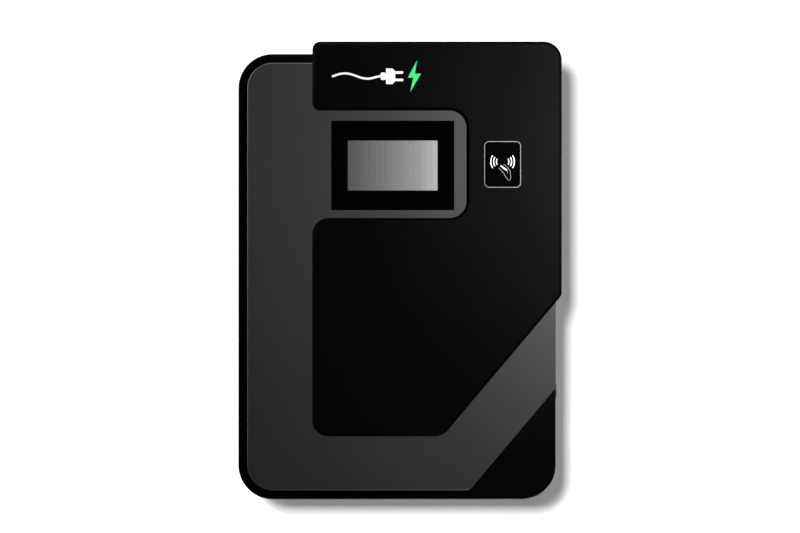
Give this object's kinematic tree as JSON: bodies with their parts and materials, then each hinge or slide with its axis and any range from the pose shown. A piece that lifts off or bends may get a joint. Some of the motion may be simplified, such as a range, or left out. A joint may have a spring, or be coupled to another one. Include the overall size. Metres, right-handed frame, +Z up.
{
  "type": "wall-mounted electric vehicle charging unit",
  "caption": "Upright rounded steel box with a hinged door, grey front panel, raised black C-shaped cover round a display, a card reader pad, side louvres and cable glands below.",
  "frame": {"origin": "centre of the wall bolt pattern on the wall plane, level with the middle of the door's height", "axes": "+Z up, the door faces -Y, +X to the right seen from the front, +Y into the wall"},
  "size_m": [0.566, 0.2512, 0.801],
  "materials": {
    "black_steel": "fine-texture powder coat",
    "grey_panel": "satin moulded",
    "black_cover": "satin gloss moulded",
    "cover_glass": "polished, black printed border",
    "lcd": "backlit panel",
    "smoked_window": "satin",
    "zinc_steel": "zinc plated",
    "steel": "ground",
    "aluminium": "mill finish",
    "brass": "machined",
    "black_plastic": "glass-filled polyamide",
    "dark_grey_plastic": "thermoset moulding",
    "light_grey_plastic": "moulded",
    "foam": "closed-cell foam",
    "filter_mat": "non-woven",
    "green_board": "solder mask",
    "lead_rubber": "insulated lead",
    "yellow": "gloss paint",
    "red": "moulded"
  },
  "bodies": {
    "housing": {"rear_housing": "black_steel", "wall_bracket": "zinc_steel", "hanger_rail": "zinc_steel", "bracket_screws": "zinc_steel", "door_seal": "foam", "intake_louvre": "black_steel", "exhaust_louvre": "black_steel", "intake_filter": "filter_mat", "gland_tray": "black_steel", "cable_glands": "black_plastic", "gland_dome_nuts": "black_plastic", "gland_lock_nuts": "black_plastic", "gland_seals": "foam", "vent_plug": "black_plastic", "chassis_plate": "zinc_steel", "power_module": "aluminium", "fan_frames": "black_plastic", "main_breaker": "dark_grey_plastic", "din_rail": "zinc_steel", "surge_arrester": "light_grey_plastic", "control_breaker": "light_grey_plastic", "energy_meter": "light_grey_plastic", "control_supply": "aluminium", "dc_contactors": "dark_grey_plastic", "input_terminals": "light_grey_plastic", "earth_bar": "brass", "wiring_ducts": "light_grey_plastic", "board_tray": "zinc_steel", "control_board": "green_board", "power_leads": "lead_rubber", "stop_recess_cup": "yellow", "stop_switch_body": "black_plastic", "hinge_housing_leaves": "black_steel", "hinge_pins": "steel", "lock_strikes": "zinc_steel"},
    "door": {"door_pan": "black_steel", "door_frame": "black_steel", "grey_fascia": "grey_panel", "raised_cover": "black_cover", "fascia_screws": "zinc_steel", "display_glass": "cover_glass", "display_gasket": "foam", "lcd_module": "lcd", "display_bracket": "zinc_steel", "display_board": "green_board", "reader_window": "smoked_window", "reader_board": "green_board", "hinge_door_leaves": "black_steel", "lock_barrels": "steel"},
    "upper_lock": {"upper_lock_plug": "steel", "upper_lock_cam": "zinc_steel"},
    "lower_lock": {"lower_lock_plug": "steel", "lower_lock_cam": "zinc_steel"},
    "fan_rotor_upper": {"fan_rotor_upper": "black_plastic"},
    "fan_rotor_middle": {"fan_rotor_middle": "black_plastic"},
    "fan_rotor_lower": {"fan_rotor_lower": "black_plastic"},
    "stop_plunger": {"stop_plunger": "black_plastic"},
    "stop_head": {"stop_head": "red"},
    "breaker_toggle": {"breaker_toggle": "black_plastic"},
    "control_breaker_toggle": {"control_breaker_toggle": "black_plastic"}
  },
  "joints": [
    {"name": "door_hinge", "type": "hinge", "parent": "housing", "child": "door", "pos_m": [-0.27, -0.164, 0], "axis": [0, 0, -1], "range_deg": [0, 115]},
    {"name": "upper_lock_turn", "type": "hinge", "parent": "door", "child": "upper_lock", "pos_m": [0.267, -0.212, 0.2], "axis": [1, 0, 0], "range_deg": [0, 90]},
    {"name": "lower_lock_turn", "type": "hinge", "parent": "door", "child": "lower_lock", "pos_m": [0.267, -0.212, -0.2], "axis": [1, 0, 0], "range_deg": [0, 90]},
    {"name": "fan_spin_upper", "type": "hinge", "parent": "housing", "child": "fan_rotor_upper", "pos_m": [0.233, -0.068, 0.286], "axis": [1, 0, 0], "continuous": true},
    {"name": "fan_spin_middle", "type": "hinge", "parent": "housing", "child": "fan_rotor_middle", "pos_m": [0.233, -0.068, 0.19], "axis": [1, 0, 0], "continuous": true},
    {"name": "fan_spin_lower", "type": "hinge", "parent": "housing", "child": "fan_rotor_lower", "pos_m": [0.233, -0.068, 0.094], "axis": [1, 0, 0], "continuous": true},
    {"name": "stop_press", "type": "slide", "parent": "housing", "child": "stop_plunger", "axis": [-1, 0, 0], "range_m": [0, 0.004], "stiffness_N_per_m": 2500},
    {"name": "stop_twist", "type": "hinge", "parent": "stop_plunger", "child": "stop_head", "pos_m": [0.255, -0.1, -0.205], "axis": [1, 0, 0], "range_deg": [0, 30], "stiffness_Nm_per_rad": 0.05},
    {"name": "breaker_throw", "type": "hinge", "parent": "housing", "child": "breaker_toggle", "pos_m": [-0.184, -0.1, -0.0945], "axis": [1, 0, 0], "range_deg": [0, 36]},
    {"name": "control_breaker_throw", "type": "hinge", "parent": "housing", "child": "control_breaker_toggle", "pos_m": [-0.028, -0.0945, -0.066], "axis": [1, 0, 0], "range_deg": [0, 36]}
  ]
}
